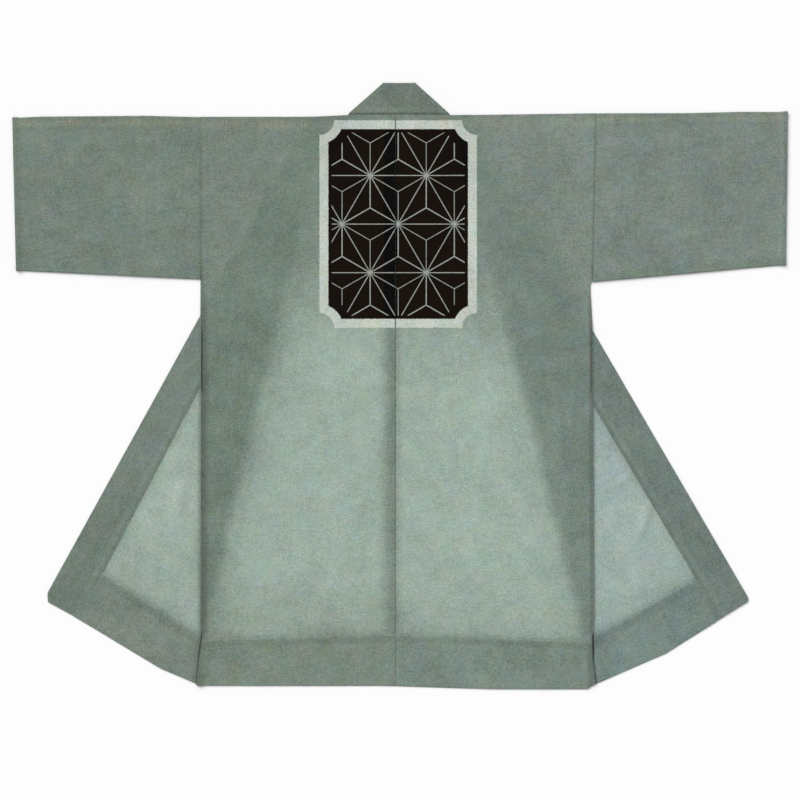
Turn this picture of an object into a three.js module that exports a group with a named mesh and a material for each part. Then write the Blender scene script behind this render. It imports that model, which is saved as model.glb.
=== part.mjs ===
// Hanten, a short unlined coat of sheer cloth, laid flat with its back up. Each half of the body is one
// length of cloth: back, shoulder fold and front. Each front is folded outwards along a line from the
// neck to the bottom corner, so its edge and half of the collar strip stick out from under the side.
// Millimetres, +Z up, the neck towards +Y, the surface that it lies on at z = 0.
import * as THREE from 'three';

// Walls of the cloth
const cloth = 1.0; // one layer
const collarCloth = 2.0; // the collar strip, which is cloth sewn double
const hemExtra = 0.6; // what a turned-up hem or a seam allowance adds to a layer
const gap = 0.3; // between pieces at a seam, and between layers that lie on each other

// How a layer comes down beside what it covers, measured along the floor
const drape = 12; // beside a folded edge
const seamDrape = 6; // beside the seam of the collar strip
const hemStep = 3; // at the upper line of a hem

const turnFlats = 4; // flats round each half turn of folded cloth
const sheetPitch = cloth + gap;
const collarPitch = collarCloth + gap;
const clothTurn = cloth + gap / 2; // how far a folded edge reaches past its fold line

// The back of the garment
const centreSeam = -3;
const allowanceWidth = 20;
const neckSeam = 445.6;
const collarTop = 495.2;
const flapBottom = 419.8; // where the turned-under end of the collar's neck part stops
const stripLean = Math.PI / 6; // how far the folded-out strips lean from straight down

// Each half as it lies, in x and y. Points run from the neck down.
const halves = {
  left: {
    side: -1,
    shoulder: [-327.5, 440.8], // end of the shoulder fold, at the armhole
    neck: [-80.7, 443.8], // end of the shoulder fold, at the collar
    turnTop: [-112.3, 411.6], // where the front starts to fold outwards
    turnMiddle: [-239.4, -105.0],
    corner: [-331.3, -490.4], // bottom corner, where side, hem and fold meet
    backSide: [[-327.5, 174.8], [-327.0, -410.0], [-335.2, -482.2], [-331.3, -490.4]],
    frontSide: [[-327.5, 174.8], [-327.0, -410.0], [-335.2, -482.2]],
    backHem: [[centreSeam, -491.2]],
    hemTop: [[centreSeam, -406.7], [-327.0, -416.0]],
    stripTop: [-144.0, 438.4], // free edge of the collar strip, under the shoulder
    stripNeck: [-84.0, 440.0],
    tip: [[-576.5, -339.5], [-576.8, -354.2]],
    stripSeam: [[-484.5, -301.8], [-534.6, -377.5]], // seam of strip and front, knee and hem end
    frontHem: [-447.0, -426.2], // halfway along the folded front's hem
    frontHemTop: [-482.0, -309.0], // its upper line, at the strip
    collarBase: -79.2,
    collarCorner: -26.0,
  },
  right: {
    side: 1,
    shoulder: [321.4, 446.7],
    neck: [87.9, 443.5],
    turnTop: [107.7, 321.4],
    turnMiddle: [247.6, -195.2],
    corner: [319.0, -489.7],
    backSide: [
      [315.7, 170.6], [311.6, 166.5], [315.9, 91.2], [317.3, -416.6], [309.3, -446.1], [310.5, -492.0],
    ],
    frontSide: [[315.7, 170.6], [311.6, 166.5], [315.9, 91.2], [317.3, -416.6], [320.8, -478.9]],
    backHem: [[306.0, -496.8], [167.0, -495.3], [centreSeam, -491.2]],
    hemTop: [[centreSeam, -406.7], [318.0, -419.0]],
    stripTop: [113.2, 439.0],
    stripNeck: [90.5, 440.0],
    tip: [[571.2, -347.7], [570.4, -353.4]],
    stripSeam: [[476.9, -302.4], [518.2, -386.1]],
    frontHem: [447.7, -432.1],
    frontHemTop: [472.0, -322.0],
    collarBase: 86.2,
    collarCorner: 23.6,
  },
};

// Each sleeve as it lies: top edge from the cuff to the shoulder, then the bottom edge
const sleeves = {
  left: {
    side: -1,
    top: [[-634.8, 438.4], [-418.2, 442.8], [-327.5, 440.5]],
    bottom: [[-327.5, 174.8], [-628.8, 189.4]],
  },
  right: {
    side: 1,
    top: [[634.8, 448.9], [508.4, 448.4], [321.4, 446.7]],
    bottom: [[315.7, 170.6], [631.7, 198.8]],
  },
};

const colours = { body: 0x8d9c91, sleeve: 0x78857b, collar: 0x6d7a71 };

const point = ([x, y]) => new THREE.Vector2(x, y);
const points = (rows) => rows.map(point);
const moved = (p, x, y) => new THREE.Vector2(p.x + x, p.y + y);
const ramp = (length, width) => THREE.MathUtils.clamp(length / width, 0, 1);

// x of a line at a height y, and y at an x. A line is a list of points, from the top down or from the
// centre out, and its end stretches go on past its ends.
function along(line, value, from, to) {
  const falling = line[0][from] > line[line.length - 1][from];
  let i = 0;
  while (i < line.length - 2 && (falling ? value < line[i + 1][from] : value > line[i + 1][from])) {
    i += 1;
  }
  const [a, b] = [line[i], line[i + 1]];
  return a[to] + ((b[to] - a[to]) * (value - a[from])) / (b[from] - a[from]);
}
const xAt = (line, y) => along(line, y, 'y', 'x');
const yAt = (line, x) => along(line, x, 'x', 'y');
const shifted = (line, x, y) => line.map((p) => moved(p, x, y));

// Where two straight lines cross
function crossing([a, b], [c, d]) {
  const ab = b.clone().sub(a);
  const cd = d.clone().sub(c);
  const share = c.clone().sub(a).cross(cd) / ab.cross(cd);
  return a.clone().addScaledVector(ab, share);
}

// One name for all copies of a plan point
const keyOf = (p) => `${p.x.toFixed(4)},${p.y.toFixed(4)}`;

// Cuts the cells between two heights along the line through a and b
const tiny = 1e-6;
function cut(cells, a, b, low = -Infinity, high = Infinity) {
  const direction = b.clone().sub(a).normalize();
  return cells.flatMap((cell) => {
    const middle = cell.reduce((sum, p) => sum + p.y, 0) / cell.length;
    const offsets = cell.map((p) => direction.cross(p.clone().sub(a)));
    if (middle < low || middle > high) return [cell];
    if (Math.min(...offsets) > -tiny || Math.max(...offsets) < tiny) return [cell];
    const parts = [[], []];
    cell.forEach((p, i) => {
      const next = (i + 1) % cell.length;
      if (offsets[i] > -tiny) parts[0].push(p);
      if (offsets[i] < tiny) parts[1].push(p);
      if (Math.abs(offsets[i]) > tiny && Math.abs(offsets[next]) > tiny && offsets[i] * offsets[next] < 0) {
        const met = p.clone().lerp(cell[next], offsets[i] / (offsets[i] - offsets[next]));
        parts.forEach((part) => part.push(met));
      }
    });
    return parts;
  });
}

// A plan outline cut into convex cells along its creases, each a line of two or more points
function cellsOf(outline, creases) {
  const contour = THREE.ShapeUtils.isClockWise(outline) ? [...outline].reverse() : outline;
  const triangles = THREE.ShapeUtils.triangulateShape(contour, []);
  let cells = triangles.map((corners) => corners.map((i) => contour[i]));
  for (const line of creases) {
    const bends = line.slice(1, -1); // cut level first, so that the stretches end on a shared corner
    for (const bend of bends) cells = cut(cells, bend, moved(bend, 1, 0));
    const heights = [Infinity, ...bends.map((p) => p.y), -Infinity];
    for (let i = 0; i < line.length - 1; i += 1) {
      cells = cut(cells, line[i], line[i + 1], heights[i + 1], heights[i]);
    }
  }
  return cells;
}

// A closed solid of draped sheets. A sheet is { cells, under, wall }: its plan cells, the height of its
// underside and its thickness. A fold is { upper, lower, path }: two sheets that are one cloth, turned
// over along a path that is an edge of both.
class ClothSolid {
  constructor(sheets, folds = []) {
    this.places = [];
    this.faces = [];
    this.known = new Map();
    for (const sheet of sheets) {
      this.addSheet(sheet, folds.filter(({ upper, lower }) => sheet === upper || sheet === lower));
    }
    for (const fold of folds) this.addTurn(fold);
  }

  place(p, z) {
    const key = [p.x, p.y, z].map((value) => value.toFixed(4)).join();
    if (!this.known.has(key)) {
      this.known.set(key, this.places.length);
      this.places.push(new THREE.Vector3(p.x, p.y, z));
    }
    return this.known.get(key);
  }

  face(...corners) {
    for (let i = 1; i < corners.length - 1; i += 1) this.faces.push([corners[0], corners[i], corners[i + 1]]);
  }

  addSheet({ cells, under, wall }, folds) {
    const low = (p) => this.place(p, under(p));
    const high = (p) => this.place(p, under(p) + wall(p));
    for (const cell of cells) {
      this.face(...cell.map(high));
      this.face(...cell.map(low).reverse());
    }
    for (const [a, b] of borders(cells)) {
      if (!folds.some((fold) => onPath(a, fold.path) && onPath(b, fold.path))) {
        this.face(low(a), low(b), high(b), high(a));
      }
    }
  }

  // The half turn that joins two sheets, a ring of points at each of its stations
  addTurn({ upper, lower, path }) {
    const edges = borders(upper.cells).filter(([a, b]) => onPath(a, path) && onPath(b, path));
    const normals = new Map();
    for (const [a, b] of edges) {
      const outward = new THREE.Vector2(b.y - a.y, a.x - b.x).normalize();
      for (const p of [a, b]) {
        const key = keyOf(p);
        normals.set(key, (normals.get(key) ?? new THREE.Vector2()).clone().add(outward));
      }
    }
    const ring = (p, bottom, top) => {
      const outward = normals.get(keyOf(p)).clone().normalize();
      const reach = (top - bottom) / 2;
      return Array.from({ length: turnFlats + 1 }, (_, i) => {
        const angle = Math.PI * (i / turnFlats - 0.5);
        const placed = p.clone().addScaledVector(outward, reach * Math.cos(angle));
        return this.place(placed, (bottom + top) / 2 + reach * Math.sin(angle));
      });
    };
    const outer = (p) => ring(p, lower.under(p), upper.under(p) + upper.wall(p));
    const inner = (p) => ring(p, lower.under(p) + lower.wall(p), upper.under(p));
    const starts = new Set(edges.map(([a]) => keyOf(a)));
    const ends = new Set(edges.map(([, b]) => keyOf(b)));
    for (const [a, b] of edges) {
      const [outerA, outerB, innerA, innerB] = [outer(a), outer(b), inner(a), inner(b)];
      for (let i = 0; i < turnFlats; i += 1) {
        this.face(outerA[i], outerB[i], outerB[i + 1], outerA[i + 1]);
        this.face(innerA[i], innerA[i + 1], innerB[i + 1], innerB[i]);
        if (!ends.has(keyOf(a))) this.face(outerA[i], outerA[i + 1], innerA[i + 1], innerA[i]);
        if (!starts.has(keyOf(b))) this.face(outerB[i + 1], outerB[i], innerB[i], innerB[i + 1]);
      }
    }
  }

  mesh(name, colour) {
    const geometry = new THREE.BufferGeometry().setFromPoints(this.places);
    geometry.setIndex(this.faces.flat());
    geometry.computeVertexNormals();
    const material = new THREE.MeshStandardMaterial({ color: colour, roughness: 0.85, metalness: 0 });
    const made = new THREE.Mesh(geometry, material);
    made.name = name;
    return made;
  }
}

// The outer edges of a sheet's cells, with the cells on their left
function borders(cells) {
  const edges = new Map();
  for (const cell of cells) {
    cell.forEach((a, i) => {
      const b = cell[(i + 1) % cell.length];
      edges.set(`${keyOf(a)};${keyOf(b)}`, [a, b]);
    });
  }
  return [...edges.values()].filter(([a, b]) => !edges.has(`${keyOf(b)};${keyOf(a)}`));
}

// Whether a plan point lies on a path
const touching = 0.01;
function onPath(p, path) {
  const near = new THREE.Vector3();
  return path.slice(1).some((b, i) => {
    const a = path[i];
    const stretch = new THREE.Line3(new THREE.Vector3(a.x, a.y, 0), new THREE.Vector3(b.x, b.y, 0));
    const place = new THREE.Vector3(p.x, p.y, 0);
    return stretch.closestPointToPoint(place, true, near).distanceTo(place) < touching;
  });
}

// One half of the body: back, shoulder fold, front, and the front's outer part folded out under it
function bodyHalf(name, half) {
  const { side } = half;
  const inwards = (line, width) => shifted(line, -side * width, 0);
  const shoulder = moved(point(half.shoulder), 0, -clothTurn);
  const neck = moved(point(half.neck), 0, -clothTurn);
  const [turnTop, turnMiddle, corner] = points([half.turnTop, half.turnMiddle, half.corner]);
  const [knee, seamEnd] = points(half.stripSeam);

  // Lines that the layers follow: the fold, the strip's seam and free edge, the hem, the collar's flap
  const fold = [neck, turnTop, turnMiddle, corner];
  const seam = [neck, turnTop, knee, seamEnd];
  const edge = points([half.stripTop, half.tip[0]]);
  const hem = points(half.hemTop);
  const flap = [new THREE.Vector2(half.collarCorner, flapBottom), turnTop];
  const flapSide = [collarTop, flapBottom].map((y) => new THREE.Vector2(half.collarCorner, y));

  // The hem goes on round the fold, so the folded part's hem starts where the fold meets the front's
  const hemAtFold = crossing([turnMiddle, corner], hem);
  const stepAtFold = crossing([turnMiddle, corner], shifted(hem, 0, -hemStep));
  const step = stepAtFold.clone().sub(hemAtFold);
  const foldedHem = [point(half.frontHemTop), hemAtFold];
  const hemSlope = hemAtFold.clone().sub(foldedHem[0]).normalize();

  const inHem = (p) => ramp(yAt(hem, p.x) - p.y, hemStep);
  const inFoldedHem = (p) => ramp(hemSlope.cross(p.clone().sub(hemAtFold)), hemSlope.cross(step));
  const frontUnder = (p) => {
    const overStrip = collarPitch * (1 - ramp(side * (p.x - xAt(edge, p.y)), drape));
    const pastSeam = (collarPitch - sheetPitch) * ramp(side * (xAt(seam, p.y) - p.x), seamDrape);
    return overStrip - pastSeam + hemExtra * Math.max(inHem(p), inFoldedHem(p));
  };
  const frontWall = (p) => cloth + hemExtra * inHem(p);
  const overFlap = (p) => {
    const fromSide = 1 - ramp(side * (half.collarCorner - p.x), drape);
    const fromBelow = 1 - ramp(yAt(flap, p.x) - p.y, drape);
    const fromEdge = 1 - ramp(side * (p.x - xAt(edge, p.y)), drape);
    return collarPitch * Math.min(fromSide, fromBelow, fromEdge);
  };
  const backUnder = (p) => {
    const overFront = 1 - ramp(side * (xAt(fold, p.y) - p.x), drape);
    return Math.max(overFront * (frontUnder(p) + frontWall(p) + gap), overFlap(p));
  };
  const allowance = (p) => (side < 0 ? ramp(p.x - centreSeam + allowanceWidth, hemStep) : 0);
  const backWall = (p) => cloth + hemExtra * (inHem(p) + allowance(p));

  const shared = [
    fold, seam, inwards(seam, seamDrape), edge, inwards(edge, -drape), hem, shifted(hem, 0, -hemStep),
    foldedHem, shifted(foldedHem, step.x, step.y),
  ];
  const centre = centreSeam + (side * gap) / 2;
  const backNeck = [[half.collarBase + side * gap, neckSeam - gap], [centre, neckSeam - gap]];
  const backHem = points(half.backHem);
  backHem[backHem.length - 1].x = centre;
  const allowanceLines = [allowanceWidth, allowanceWidth - hemStep].map((width) => (
    [collarTop, -collarTop].map((y) => new THREE.Vector2(centreSeam - width, y))));
  const back = {
    cells: cellsOf(
      [shoulder, neck, ...points(backNeck), ...backHem.reverse(), ...points(half.backSide).reverse()],
      [...shared, inwards(fold, drape), flap, shifted(flap, 0, -drape), flapSide, inwards(flapSide, drape),
        ...(side < 0 ? allowanceLines : [])],
    ),
    under: backUnder,
    wall: backWall,
  };
  const front = {
    cells: cellsOf(
      [shoulder, neck, turnTop, turnMiddle, corner, ...points(half.frontSide).reverse()],
      shared,
    ),
    under: frontUnder,
    wall: frontWall,
  };

  // The folded part starts where it is as wide as the drape beside the seam
  const start = crossing([turnTop, turnMiddle], inwards([turnTop, knee], seamDrape));
  const turn = [start, turnMiddle, corner];
  const seamStart = new THREE.Vector2(xAt(seam, start.y), start.y);
  const seamSide = inwards([seamStart, knee, seamEnd], gap / Math.cos(stripLean));
  const folded = {
    cells: cellsOf([...turn, point(half.frontHem), ...seamSide.reverse()], shared),
    under: () => 0,
    wall: (p) => cloth + hemExtra * inFoldedHem(p),
  };
  const folds = [
    { upper: back, lower: front, path: [shoulder, neck] },
    { upper: front, lower: folded, path: turn },
  ];
  return new ClothSolid([back, front, folded], folds).mesh(name, colours.body);
}

// A sleeve is a tube pressed flat, open at the cuff and the armhole
function sleeve(name, { side, top, bottom }) {
  const topEdge = shifted(points(top), 0, -clothTurn);
  const bottomEdge = shifted(points(bottom), 0, clothTurn);
  topEdge[2].x += side * gap;
  bottomEdge[0].x += side * gap;
  const cells = cellsOf([...topEdge, ...bottomEdge], []);
  const lower = { cells, under: () => 0, wall: () => cloth };
  const upper = { cells, under: () => sheetPitch, wall: () => cloth };
  const folds = [
    { upper, lower, path: topEdge },
    { upper, lower, path: bottomEdge },
  ];
  return new ClothSolid([lower, upper], folds).mesh(name, colours.sleeve);
}

// The collar: its neck part stands up past the back's neckline and is folded under at both slanted
// ends, from where each half of the strip runs on to the hem of its front
function collar(name) {
  const wall = () => collarCloth;
  const flapSides = Object.values(halves).map(({ side, collarCorner }) => (
    [collarCorner, collarCorner - side * drape].map((x) => [collarTop, neckSeam].map((y) => point([x, y])))));
  const ends = Object.values(halves).map((half) => (
    [point([half.collarBase, neckSeam]), point([half.collarCorner, collarTop])]));
  const neckPart = {
    cells: cellsOf([...ends[0], ...[...ends[1]].reverse()], flapSides.flat()),
    under: (p) => collarPitch * Math.max(...Object.values(halves).map(({ side, collarCorner }) => (
      1 - ramp(side * (collarCorner - p.x), drape)))),
    wall,
  };
  const strips = Object.values(halves).map((half, i) => ({
    cells: cellsOf([
      ...ends[i], point([half.collarCorner, flapBottom]), point(half.turnTop), ...points(half.stripSeam),
      ...points(half.tip).reverse(), point(half.stripTop), point(half.stripNeck),
    ], []),
    under: () => 0,
    wall,
  }));
  const folds = strips.map((strip, i) => ({ upper: neckPart, lower: strip, path: ends[i] }));
  return new ClothSolid([neckPart, ...strips], folds).mesh(name, colours.collar);
}

const group = new THREE.Group();
group.add(bodyHalf('body_left', halves.left));
group.add(bodyHalf('body_right', halves.right));
group.add(sleeve('sleeve_left', sleeves.left));
group.add(sleeve('sleeve_right', sleeves.right));
group.add(collar('collar'));

export default group;
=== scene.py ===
# %% [markdown]
# # A hanten, laid flat with its back up
#
# A hanten is a short Japanese coat, cut from straight lengths of narrow cloth. This one is unlined and
# sheer. It lies face down on a pale surface, and each front is folded outwards underneath, so a wide
# triangle of the front and its dark collar strip stick out below the side seam.
#
# The lesson builds the cloth as thin shells that follow the imported solids, lays the creases in,
# and paints how light or dark the cloth is from the number of layers that lie on each other.

# %% Load the frame
import math
import bpy
import numpy as np
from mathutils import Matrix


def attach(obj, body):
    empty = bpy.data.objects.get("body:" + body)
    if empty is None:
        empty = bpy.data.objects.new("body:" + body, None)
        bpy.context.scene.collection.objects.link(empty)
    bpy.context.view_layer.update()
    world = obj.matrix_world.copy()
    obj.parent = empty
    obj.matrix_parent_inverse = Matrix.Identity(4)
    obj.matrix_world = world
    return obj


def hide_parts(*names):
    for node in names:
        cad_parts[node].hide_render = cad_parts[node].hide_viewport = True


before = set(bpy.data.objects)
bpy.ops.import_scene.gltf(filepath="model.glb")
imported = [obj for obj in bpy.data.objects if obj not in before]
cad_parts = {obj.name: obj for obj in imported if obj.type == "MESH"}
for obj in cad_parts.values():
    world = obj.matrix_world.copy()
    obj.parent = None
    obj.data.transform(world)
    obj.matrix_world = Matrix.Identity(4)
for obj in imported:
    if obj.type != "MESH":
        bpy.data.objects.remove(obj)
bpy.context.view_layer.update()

# %% [markdown]
# ## The surface, the light and the camera
#
# The photograph is taken from straight above, and the coat stands out against white. A large pale floor,
# an even white world and one broad lamp from the upper left give that, and they leave soft shading on
# each crease. The floor and the lamp aren't part of the coat.

# %% Floor, lamp, world and camera
mm = 0.001
scene = bpy.context.scene
scene.view_settings.view_transform = "Standard"


def nothing_selected():
    """Operators act on all that is selected, so each step starts with nothing selected."""
    bpy.ops.object.select_all(action="DESELECT")


nothing_selected()
bpy.ops.mesh.primitive_plane_add(size=30, location=(0, 0, 0))
floor = bpy.context.object
floor.name = "floor"

world = bpy.data.worlds.new("white room")
world.use_nodes = True
world.node_tree.nodes["Background"].inputs["Color"].default_value = (1, 1, 1, 1)
world.node_tree.nodes["Background"].inputs["Strength"].default_value = 0.55
scene.world = world

bpy.ops.object.light_add(type="SUN", location=(-2, 2, 3))
lamp = bpy.context.object
lamp.name = "broad lamp"
lamp.rotation_euler = (math.radians(-39), math.radians(-42), 0)
lamp.data.energy = 2.75
lamp.data.angle = math.radians(40)

lens, sensor = 85, 36  # in millimetres
bpy.ops.object.camera_add(location=(0, -0.023, 3.098), rotation=(0, 0, 0))
camera = bpy.context.object
camera.name = "camera above"
camera.data.lens = lens
camera.data.sensor_width = sensor
scene.camera = camera
print("camera sees", round(sensor / lens * camera.location.z, 3), "m across at the floor")

# %% [markdown]
# ## The plan of the coat
#
# Everything is placed by its plan, seen from above. Each half has the same named points: where the
# shoulder fold ends, where the front starts to fold outwards, the bottom corner, the side, the hem and
# the collar strip's two edges. Points run from the neck down or from the side in.

# %% Named points of each half, in millimetres


def plan(rows):
    """Points given in millimetres, as metres."""
    return np.array(rows, float) * mm


centre_seam = -7.4 * mm
allowance_width = 20 * mm
neck_seam = 445.6 * mm
collar_top = 496.6 * mm
flap_bottom = 419.8 * mm
armpit = 172 * mm

halves = {
    "left": dict(
        side=-1,
        neck=plan([-85.5, 443.6]),
        fold=plan([[-85.5, 443.6], [-112.3, 411.6], [-239.4, -105.0], [-331.3, -490.4]]),
        back_side=plan([[-327.5, 440.8], [-327.5, 174.8], [-326.3, 168.0], [-326.6, 90.0], [-327.0, -410.0],
                        [-331.6, -440.0], [-335.4, -477.0], [-330.8, -490.9]]),
        front_side=plan([[-327.5, 440.8], [-327.5, 174.8], [-326.3, 168.0], [-326.6, 90.0],
                         [-327.0, -410.0], [-331.9, -440.0], [-336.0, -479.0], [-334.0, -489.7]]),
        back_top=plan([[-327.5, 440.8], [-140.0, 441.0], [-85.5, 443.6], [-84.0, 445.3], [-7.55, 445.3]]),
        hem_top=plan([[-327.0, -416.0], [-7.4, -406.9]]),
        back_hem=plan([[-330.8, -490.9], [-7.55, -491.2]]),
        front_bottom=plan([[-334.0, -489.7], [-318.0, -491.8]]),
        seam=plan([[-85.5, 443.6], [-112.3, 411.6], [-484.5, -301.8], [-534.6, -377.5]]),
        edge=plan([[-149.5, 438.4], [-578.0, -339.5]]),
        strip_neck=plan([-88.8, 440.0]),
        tip=plan([-577.2, -354.2]),
        front_hem=plan([-392.8, -462.6]),
        front_hem_top=plan([-482.0, -309.0]),
        collar_base=-84.0 * mm,
        collar_corner=-26.0 * mm,
    ),
    "right": dict(
        side=1,
        neck=plan([81.7, 443.5]),
        fold=plan([[81.7, 443.5], [107.7, 321.4], [247.6, -195.2], [319.0, -489.7]]),
        back_side=plan([[321.4, 446.7], [315.7, 170.6], [310.7, 166.5], [314.9, 91.2], [317.0, -380.0],
                        [314.2, -413.0], [309.4, -446.1], [310.2, -490.0], [307.2, -496.6]]),
        front_side=plan([[321.4, 446.7], [315.7, 170.6], [310.7, 166.5], [314.9, 91.2], [317.0, -380.0],
                         [316.6, -413.0], [317.4, -450.0], [321.0, -479.0], [321.4, -487.6]]),
        back_top=plan([[-7.25, 445.3], [80.2, 445.3], [81.7, 443.5], [321.4, 446.7]]),
        hem_top=plan([[-7.4, -406.9], [318.0, -419.0]]),
        back_hem=plan([[-7.25, -491.7], [60.0, -493.9], [150.0, -496.4], [307.2, -496.6]]),
        front_bottom=plan([[308.0, -493.6], [321.4, -487.6]]),
        seam=plan([[81.7, 443.5], [107.7, 321.4], [476.9, -302.4], [518.2, -386.1]]),
        edge=plan([[113.2, 439.0], [571.2, -347.7]]),
        strip_neck=plan([84.5, 440.0]),
        tip=plan([570.4, -353.4]),
        front_hem=plan([436.1, -438.0]),
        front_hem_top=plan([472.0, -322.0]),
        collar_base=80.2 * mm,
        collar_corner=23.6 * mm,
    ),
}
sleeves = {
    "left": dict(
        side=-1,
        top=plan([[-327.8, 440.5], [-418.2, 442.8], [-590.0, 441.4], [-634.8, 439.2]]),
        bottom=plan([[-327.8, 174.8], [-628.8, 189.4]]),
    ),
    "right": dict(
        side=1,
        top=plan([[321.7, 446.7], [470.0, 447.1], [560.0, 449.3], [634.8, 449.0]]),
        bottom=plan([[316.0, 170.6], [631.7, 198.8]]),
    ),
}
X, Y = 0, 1


def on_line(line, value, axis):
    """The other coordinate of a line where one coordinate has this value. Its ends go on straight."""
    if line[0, axis] > line[-1, axis]:
        line = line[::-1]
    known, other = line[:, axis], line[:, 1 - axis]
    index = np.clip(np.searchsorted(known, value) - 1, 0, len(known) - 2)
    share = (value - known[index]) / (known[index + 1] - known[index])
    return other[index] + share * (other[index + 1] - other[index])


def along(line, shares):
    """Points of a line at these shares of its length."""
    lengths = np.concatenate([[0], np.cumsum(np.linalg.norm(np.diff(line, axis=0), axis=1))])
    return np.stack([np.interp(shares, lengths / lengths[-1], line[:, k]) for k in (X, Y)], -1)


def crossing(first, second):
    """Where two straight lines cross."""
    (ax, ay), (bx, by) = first
    (cx, cy), (dx, dy) = second
    divisor = (bx - ax) * (dy - cy) - (by - ay) * (dx - cx)
    share = ((cx - ax) * (dy - cy) - (cy - ay) * (dx - cx)) / divisor
    return np.array([ax + share * (bx - ax), ay + share * (by - ay)])


left_cuff, right_cuff = (sleeves[name]["top"][-1, X] for name in ("left", "right"))
print("coat from cuff to cuff:", round(right_cuff - left_cuff, 3), "m")

# %% [markdown]
# ## Creases and waves
#
# Ironed cloth that has been folded away never lies quite flat. A cloth simulation would wrinkle it all
# over, while the coat in the photograph has only a few faint creases, so they are put in one by one: broad
# waves under half a millimetre high, and a table of creases, each with its own path, width and height. All
# layers ride on the same waves, so none cuts through another.

# %% How high the lowest layer stands off the floor
waves = [  # direction in degrees, length and height in millimetres, where it starts
    (12, 410, 0.36, 0.4), (67, 290, 0.30, 2.1), (98, 173, 0.20, 4.0), (141, 236, 0.24, 1.2),
    (31, 97, 0.10, 5.1), (118, 71, 0.07, 0.9), (77, 52, 0.05, 3.3), (160, 61, 0.05, 2.6),
]
creases = [  # points in millimetres, half width and height in millimetres
    ([(412, -184), (405, -208), (393, -252)], 6.5, 3.0),
    ([(352, -166), (368, -152), (385, -139)], 5.5, 1.9),
    ([(348, -180), (352, -208), (345, -240)], 9.0, 2.1),
    ([(323, -320), (352, -333), (384, -347)], 4.5, 1.9),
    ([(323, -283), (343, -294), (368, -314)], 4.5, 1.5),
    ([(324, -358), (347, -370), (370, -384)], 4.0, 1.3),
    ([(334, -86), (339, -110), (336, -136)], 6.0, 1.2),
    ([(-359, -150), (-360, -186), (-369, -220)], 11.0, 3.2),
    ([(-437, -246), (-435, -282), (-440, -320)], 5.0, 1.4),
    ([(-338, -228), (-342, -256), (-339, -290)], 6.0, 1.1),
    ([(-400, -262), (-404, -308), (-399, -344)], 6.0, 1.0),
    ([(-352, -368), (-388, -350), (-418, -330)], 5.5, 0.9),
    ([(250, 40), (262, -60), (268, -150)], 6.0, 1.1),
    ([(282, 55), (286, -20), (281, -92)], 5.0, 1.0),
    ([(262, -206), (278, -262), (281, -330)], 6.5, 1.2),
    ([(-262, 96), (-268, 12), (-280, -70)], 7.0, 1.1),
    ([(-298, -150), (-292, -238), (-301, -300)], 6.0, 1.0),
    ([(-230, 250), (-262, 214), (-300, 190)], 7.0, 0.9),
    ([(232, 262), (270, 226), (300, 196)], 7.0, 1.0),
    ([(-120, 60), (-96, -40), (-84, -170)], 10.0, 0.9),
    ([(64, 60), (84, -80), (78, -220)], 10.0, 0.9),
    ([(150, -40), (128, -170), (136, -300)], 9.0, 0.9),
    ([(-170, -140), (-150, -250), (-158, -350)], 9.0, 0.9),
    ([(-560, 404), (-470, 392), (-372, 404)], 8.0, 0.9),
    ([(-590, 262), (-500, 236), (-400, 222)], 7.0, 0.9),
    ([(-352, 300), (-360, 258), (-352, 212)], 5.0, 1.0),
    ([(-470, 340), (-462, 296), (-470, 250)], 8.0, 0.7),
    ([(560, 410), (470, 398), (380, 412)], 8.0, 0.9),
    ([(600, 262), (500, 250), (396, 226)], 7.0, 0.9),
    ([(344, 330), (352, 272), (343, 210)], 5.0, 1.0),
    ([(470, 360), (478, 308), (470, 262)], 8.0, 0.7),
    ([(540, -330), (520, -300), (505, -262)], 6.0, 0.9),
    ([(-545, -330), (-520, -290), (-500, -250)], 6.0, 0.9),
    ([(-470, -392), (-452, -362), (-420, -352)], 5.0, 0.9),
    ([(452, -400), (440, -372), (404, -362)], 5.0, 0.9),
]


def from_path(x, y, path):
    """How far each place is from a path, and how near the middle of the path, from 0 to 1."""
    path = plan(path)
    lengths = np.linalg.norm(np.diff(path, axis=0), axis=1)
    nearest = np.full(x.shape, 9.0)
    share = np.zeros(x.shape)
    done = 0.0
    for a, b, length in zip(path[:-1], path[1:], lengths):
        t = np.clip(((x - a[X]) * (b[X] - a[X]) + (y - a[Y]) * (b[Y] - a[Y])) / length**2, 0, 1)
        distance = np.hypot(x - a[X] - t * (b[X] - a[X]), y - a[Y] - t * (b[Y] - a[Y]))
        share = np.where(distance < nearest, (done + t * length) / lengths.sum(), share)
        nearest = np.minimum(nearest, distance)
        done += length
    return nearest, np.sin(np.pi * np.clip(share, 0, 1))


def stand_off(x, y):
    """Height of the lowest layer's underside over the floor."""
    height = np.zeros(x.shape)
    for degrees, length, high, start in waves:
        angle = math.radians(degrees)
        way = x * math.cos(angle) + y * math.sin(angle)
        height += high * mm * (1 + np.sin(2 * np.pi * way / (length * mm) + start)) / 2
    for path, half_width, high in creases:
        distance, middle = from_path(x, y, path)
        height += high * mm * np.exp(-((distance / (half_width * mm)) ** 2)) * middle
    return height


print(len(waves), "waves and", len(creases), "creases, up to",
      max(high for _, _, high in creases), "mm high")

# %% [markdown]
# ## How the layers lie on each other
#
# From the floor up, the outer part of each half has the folded-out front with the collar strip beside
# it, then the front, then the back. Cloth is nearly half a millimetre thick, and the
# strip is sewn double. Where a layer comes down past the edge of what it covers, it slopes over a few
# millimetres.

# %% Heights of the layers
cloth = 0.45 * mm
pitch = 0.62 * mm  # from one layer to the next
strip = 1.0 * mm
strip_pitch = strip + 0.15 * mm
drape = 13 * mm
seam_drape = 6 * mm
hem_step = 3 * mm


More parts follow.
